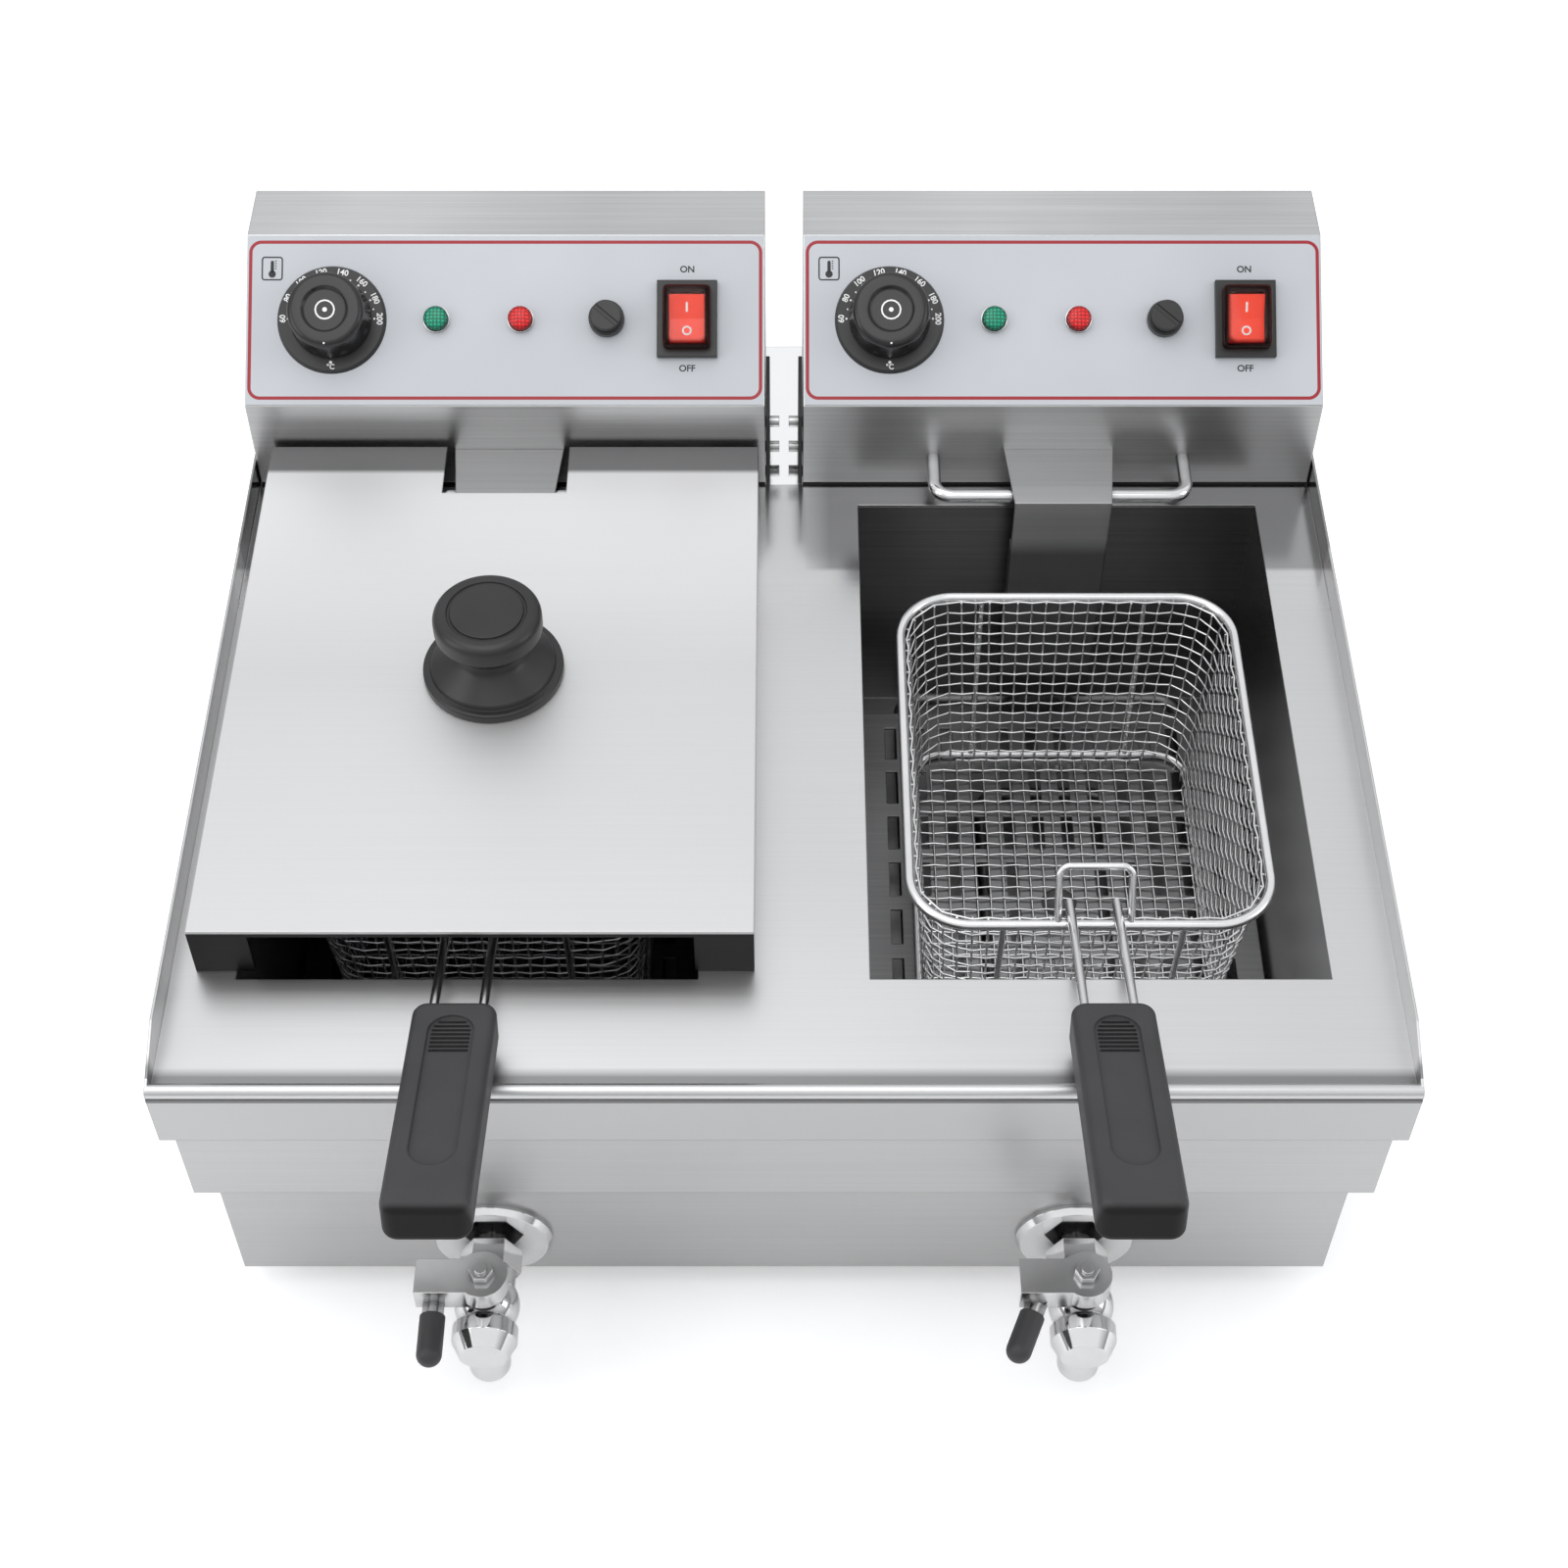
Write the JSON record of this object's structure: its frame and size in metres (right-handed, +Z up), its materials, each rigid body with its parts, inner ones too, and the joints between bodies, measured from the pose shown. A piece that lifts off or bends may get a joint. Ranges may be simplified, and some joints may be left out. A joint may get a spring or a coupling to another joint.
{
  "type": "deep fryer",
  "caption": "Counter-top deep fryer with side-by-side steel tanks, sloping control heads, wire baskets with grips, a lid and lever drain taps.",
  "frame": {"origin": "under the middle of the whole object, at the surface it stands on", "axes": "+X to the right seen from the front, +Y to the back, +Z up"},
  "size_m": [0.56, 0.5983, 0.3088],
  "materials": {
    "steel": "brushed",
    "chrome": "polished",
    "wire_mesh": "polished wire",
    "element_metal": "oxidised",
    "fascia_print": "printed satin",
    "black_plastic": "satin",
    "grip_plastic": "fine grain",
    "black_paint": "satin",
    "rubber": "matte",
    "green_lens": "clear lens in a bright ring",
    "red_lens": "clear lens in a bright ring",
    "red_plastic": "gloss",
    "clear_plastic": "clear"
  },
  "bodies": {
    "fryer": {"lower_base": "steel", "mid_casing": "steel", "deck": "steel", "left_tank": "steel", "right_tank": "steel", "left_head_housing": "steel", "right_head_housing": "steel", "left_element_riser": "steel", "right_element_riser": "steel", "left_drain_pipe": "chrome", "right_drain_pipe": "chrome", "drain_trim_discs": "chrome", "left_valve_body": "chrome", "right_valve_body": "chrome", "left_basket_rest": "chrome", "right_basket_rest": "chrome", "head_bolts": "chrome", "left_heating_element": "element_metal", "right_heating_element": "element_metal", "sensor_bulbs": "element_metal", "left_fascia": "fascia_print", "right_fascia": "fascia_print", "thermostats": "black_plastic", "dial_rings": "black_plastic", "reset_caps": "black_plastic", "limit_thermostats": "black_plastic", "switch_bodies": "black_plastic", "cable_glands": "black_plastic", "head_bracket": "black_paint", "feet": "rubber", "head_seals": "rubber", "power_lamps": "green_lens", "heating_lamps": "red_lens", "switch_boots": "clear_plastic"},
    "left_dial": {"left_dial_knob": "black_plastic", "left_shaft": "chrome"},
    "left_switch_rocker": {"left_rocker": "red_plastic"},
    "left_reset": {"left_reset_button": "black_plastic"},
    "left_tap": {"left_tap_lever": "chrome", "left_lever_sleeve": "grip_plastic", "left_tap_stem": "chrome"},
    "left_strainer_plate": {"left_strainer": "steel"},
    "left_basket": {"left_basket_mesh": "wire_mesh", "left_basket_frame": "chrome", "left_handle_rods": "chrome", "left_grip": "grip_plastic"},
    "right_dial": {"right_dial_knob": "black_plastic", "right_shaft": "chrome"},
    "right_switch_rocker": {"right_rocker": "red_plastic"},
    "right_reset": {"right_reset_button": "black_plastic"},
    "right_tap": {"right_tap_lever": "chrome", "right_lever_sleeve": "grip_plastic", "right_tap_stem": "chrome"},
    "right_strainer_plate": {"right_strainer": "steel"},
    "right_basket": {"right_basket_mesh": "wire_mesh", "right_basket_frame": "chrome", "right_handle_rods": "chrome", "right_grip": "grip_plastic"},
    "lid_body": {"lid": "steel", "lid_knob": "black_plastic"}
  },
  "joints": [
    {"name": "left_dial_turn", "type": "hinge", "parent": "fryer", "child": "left_dial", "pos_m": [-0.2335, 0.21409, 0.27881], "axis": [0, 0.5736, -0.8192], "range_deg": [0, 270]},
    {"name": "left_switch_tilt", "type": "hinge", "parent": "fryer", "child": "left_switch_rocker", "pos_m": [-0.05, 0.21363, 0.27947], "axis": [-1, 0, 0], "range_deg": [0, 16]},
    {"name": "left_reset_push", "type": "slide", "parent": "fryer", "child": "left_reset", "axis": [0, 0.5736, -0.8192], "range_m": [0, 0.002], "stiffness_N_per_m": 300, "springref_m": -0.001},
    {"name": "left_tap_turn", "type": "hinge", "parent": "fryer", "child": "left_tap", "pos_m": [-0.141, -0.23177, 0.0544], "axis": [0, 0, 1], "range_deg": [0, 90]},
    {"name": "left_strainer_lift", "type": "slide", "parent": "fryer", "child": "left_strainer_plate", "axis": [0, 0, 1], "range_m": [0, 0.2]},
    {"name": "left_basket_lift", "type": "slide", "parent": "left_strainer_plate", "child": "left_basket", "axis": [0, 0, 1], "range_m": [0, 0.2]},
    {"name": "right_dial_turn", "type": "hinge", "parent": "fryer", "child": "right_dial", "pos_m": [0.0545, 0.21409, 0.27881], "axis": [0, 0.5736, -0.8192], "range_deg": [0, 270]},
    {"name": "right_switch_tilt", "type": "hinge", "parent": "fryer", "child": "right_switch_rocker", "pos_m": [0.238, 0.21363, 0.27947], "axis": [-1, 0, 0], "range_deg": [0, 16]},
    {"name": "right_reset_push", "type": "slide", "parent": "fryer", "child": "right_reset", "axis": [0, 0.5736, -0.8192], "range_m": [0, 0.002], "stiffness_N_per_m": 300, "springref_m": -0.001},
    {"name": "right_tap_turn", "type": "hinge", "parent": "fryer", "child": "right_tap", "pos_m": [0.141, -0.23177, 0.0544], "axis": [0, 0, 1], "range_deg": [0, 90]},
    {"name": "right_strainer_lift", "type": "slide", "parent": "fryer", "child": "right_strainer_plate", "axis": [0, 0, 1], "range_m": [0, 0.2]},
    {"name": "right_basket_lift", "type": "slide", "parent": "right_strainer_plate", "child": "right_basket", "axis": [0, 0, 1], "range_m": [0, 0.2]},
    {"name": "lid_lift", "type": "slide", "parent": "left_basket", "child": "lid_body", "axis": [0, 0, 1], "range_m": [0, 0.12]}
  ]
}
